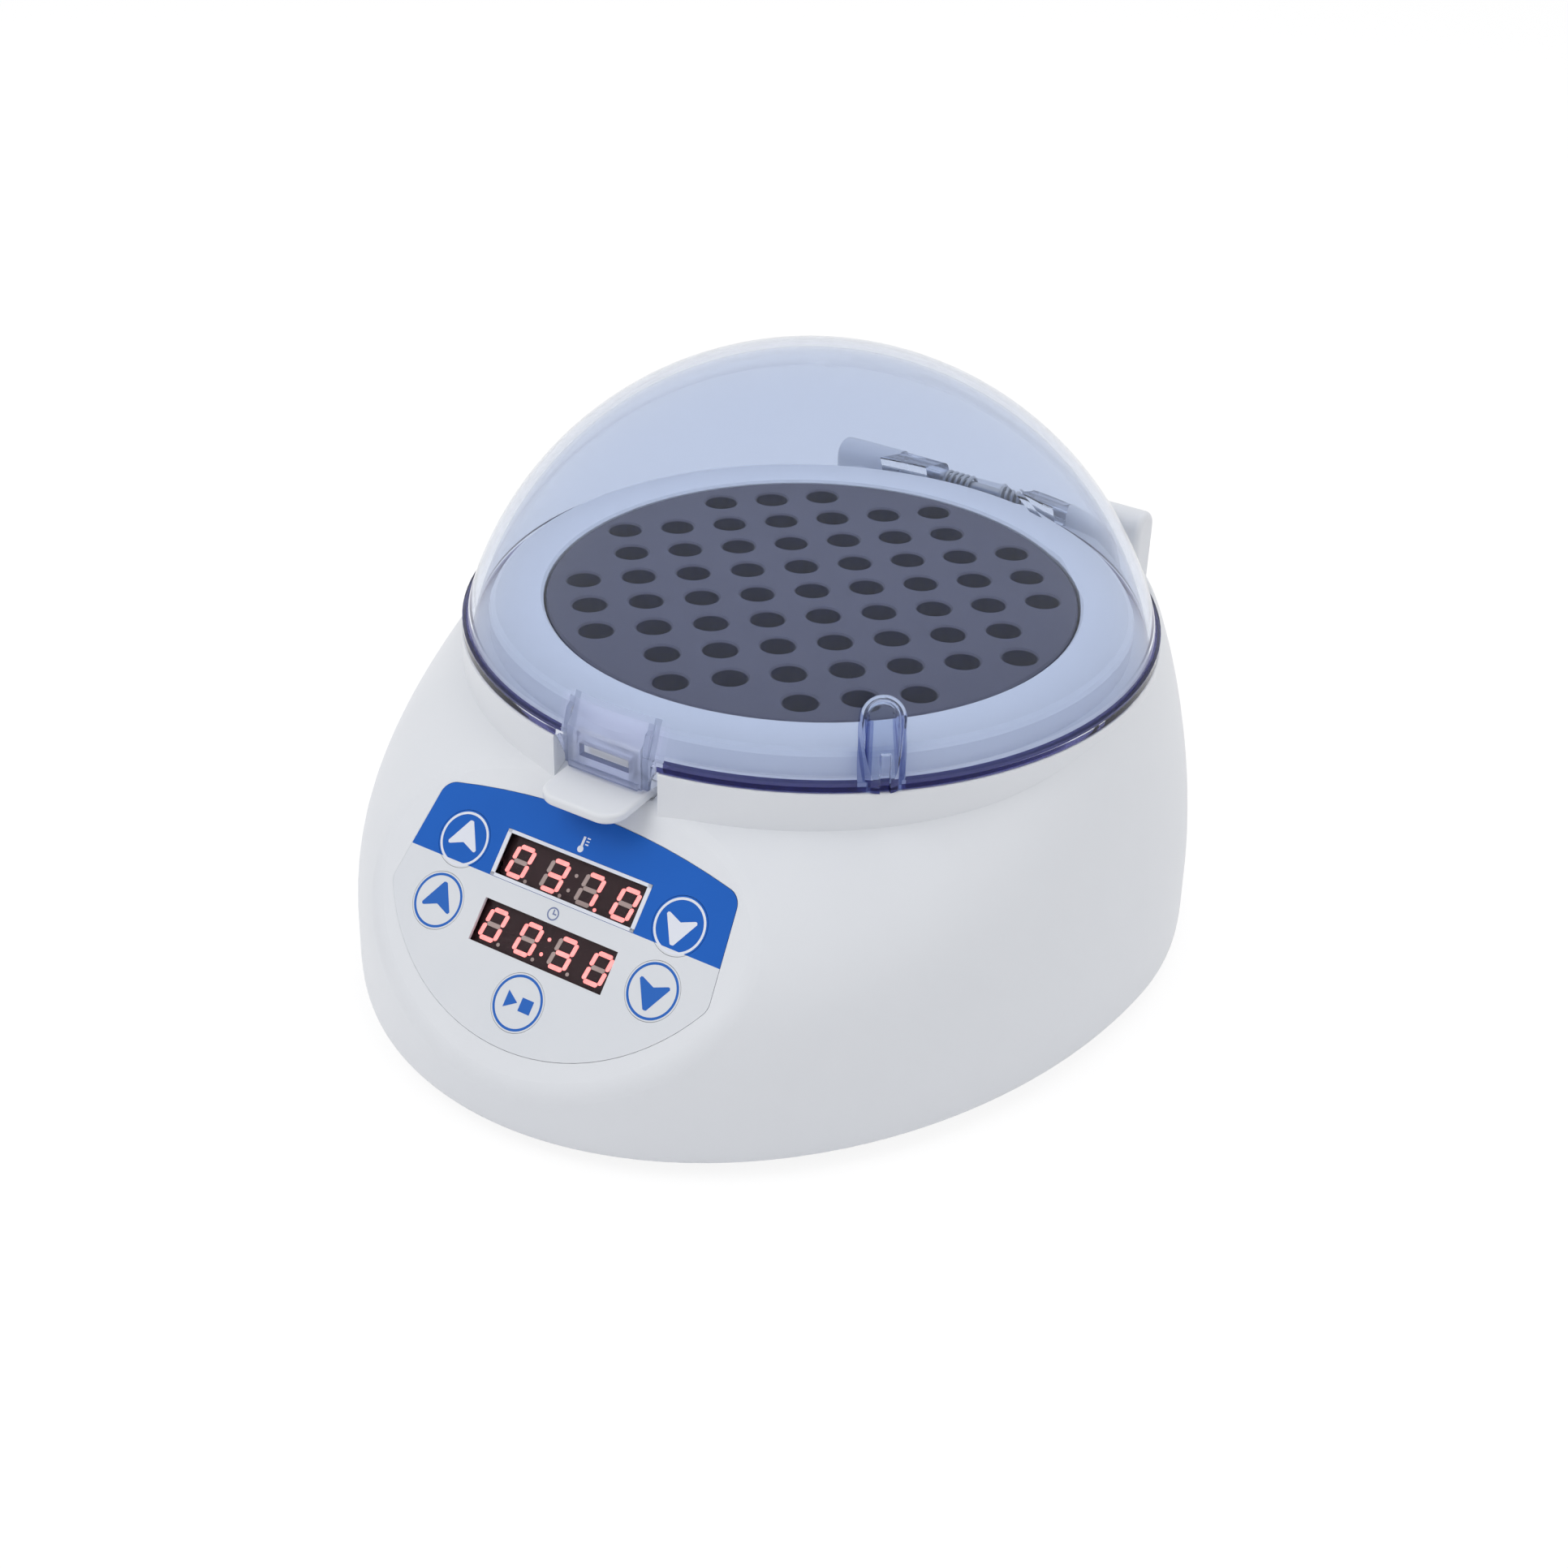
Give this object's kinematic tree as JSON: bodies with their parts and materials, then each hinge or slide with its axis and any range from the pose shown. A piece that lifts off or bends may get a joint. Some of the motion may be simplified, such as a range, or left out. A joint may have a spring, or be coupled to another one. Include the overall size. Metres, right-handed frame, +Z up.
{
  "type": "dry bath incubator",
  "caption": "Compact dry bath incubator: oval white casing, sloped key panel with two displays, round drilled heating block under a hinged clear dome lid.",
  "frame": {"origin": "on the bench, under the middle of the overall box", "axes": "+Z up, the control panel faces -Y, +X to the right seen from the front"},
  "size_m": [0.1896, 0.2234, 0.1366],
  "materials": {
    "white_casing": "moulded, satin gloss",
    "grey_base": "moulded, fine texture",
    "feet_rubber": "soft, matt",
    "steel": "zinc plated",
    "block_metal": "dark hard anodised, fine blasted",
    "silicone_mat": "moulded silicone, matt",
    "plain_aluminium": "mill finish",
    "felt": "pressed fibre felt",
    "board_green": "solder mask",
    "transformer_steel": "varnished laminations",
    "part_black": "moulded, matt",
    "sleeve_blue": "shrunk sleeve",
    "terminal_green": "moulded",
    "contact_brass": "plain",
    "clear_glass": "clear, polished",
    "display_black": "moulded, gloss face",
    "panel_film": "printed film, blue above, white below",
    "pane_tint": "tinted, polished",
    "key_blue": "printed film, white ring and arrow",
    "key_white": "printed film, blue ring and arrow",
    "rocker_black": "moulded, gloss",
    "lid_clear": "tinted clear, polished",
    "wire_cover": "extruded, satin",
    "ribbon_grey": "flat cable, satin"
  },
  "bodies": {
    "base": {"top_cover": "white_casing", "base_plate": "grey_base", "rubber_feet": "feet_rubber", "case_screws": "steel", "pillar_screws": "steel", "block_pillars": "steel", "board_screws": "steel", "display_board_screws": "steel", "temperature_probe": "steel", "hinge_pin": "steel", "hinge_springs": "steel", "release_spring": "steel", "heating_block": "block_metal", "heater_mat": "silicone_mat", "clamp_plate": "plain_aluminium", "heat_sink": "plain_aluminium", "thermal_cutout": "plain_aluminium", "insulation_disc": "felt", "insulation_sleeve": "felt", "main_board": "board_green", "display_board": "board_green", "transformer": "transformer_steel", "power_relay": "part_black", "buzzer": "part_black", "tact_switches": "part_black", "power_inlet": "part_black", "switch_frame": "part_black", "smoothing_capacitor": "sleeve_blue", "terminal_block": "terminal_green", "fuse_clips": "contact_brass", "inlet_pins": "contact_brass", "fuse": "clear_glass", "temperature_display": "display_black", "time_display": "display_black", "panel_overlay": "panel_film", "display_panes": "pane_tint", "heater_leads": "wire_cover", "probe_lead": "wire_cover", "mains_leads": "wire_cover", "display_ribbon": "ribbon_grey"},
    "lid": {"dome_lid": "lid_clear"},
    "release": {"release_tab": "white_casing"},
    "rocker": {"power_rocker": "rocker_black"},
    "key_temperature_up": {"key_temperature_up": "key_blue"},
    "key_temperature_down": {"key_temperature_down": "key_blue"},
    "key_time_up": {"key_time_up": "key_white"},
    "key_time_down": {"key_time_down": "key_white"},
    "key_start_stop": {"key_start_stop": "key_white"}
  },
  "joints": [
    {"name": "lid_hinge", "type": "hinge", "parent": "base", "child": "lid", "pos_m": [0, 0.0986, 0.075], "axis": [-1, 0, 0], "range_deg": [0, 100]},
    {"name": "release_slide", "type": "slide", "parent": "base", "child": "release", "axis": [0, 1, 0], "range_m": [0, 0.002], "stiffness_N_per_m": 400, "springref_m": -0.0005},
    {"name": "rocker_tilt", "type": "hinge", "parent": "base", "child": "rocker", "pos_m": [0.018, 0.1056, 0.028], "axis": [1, 0, 0], "range_deg": [-16, 0]},
    {"name": "key_temperature_up_press", "type": "slide", "parent": "base", "child": "key_temperature_up", "axis": [0, 0.7455, -0.6665], "range_m": [0, 0.0004], "stiffness_N_per_m": 1500, "springref_m": -0.0001},
    {"name": "key_temperature_down_press", "type": "slide", "parent": "base", "child": "key_temperature_down", "axis": [0, 0.7455, -0.6665], "range_m": [0, 0.0004], "stiffness_N_per_m": 1500, "springref_m": -0.0001},
    {"name": "key_time_up_press", "type": "slide", "parent": "base", "child": "key_time_up", "axis": [0, 0.7455, -0.6665], "range_m": [0, 0.0004], "stiffness_N_per_m": 1500, "springref_m": -0.0001},
    {"name": "key_time_down_press", "type": "slide", "parent": "base", "child": "key_time_down", "axis": [0, 0.7455, -0.6665], "range_m": [0, 0.0004], "stiffness_N_per_m": 1500, "springref_m": -0.0001},
    {"name": "key_start_stop_press", "type": "slide", "parent": "base", "child": "key_start_stop", "axis": [0, 0.7455, -0.6665], "range_m": [0, 0.0004], "stiffness_N_per_m": 1500, "springref_m": -0.0001}
  ]
}
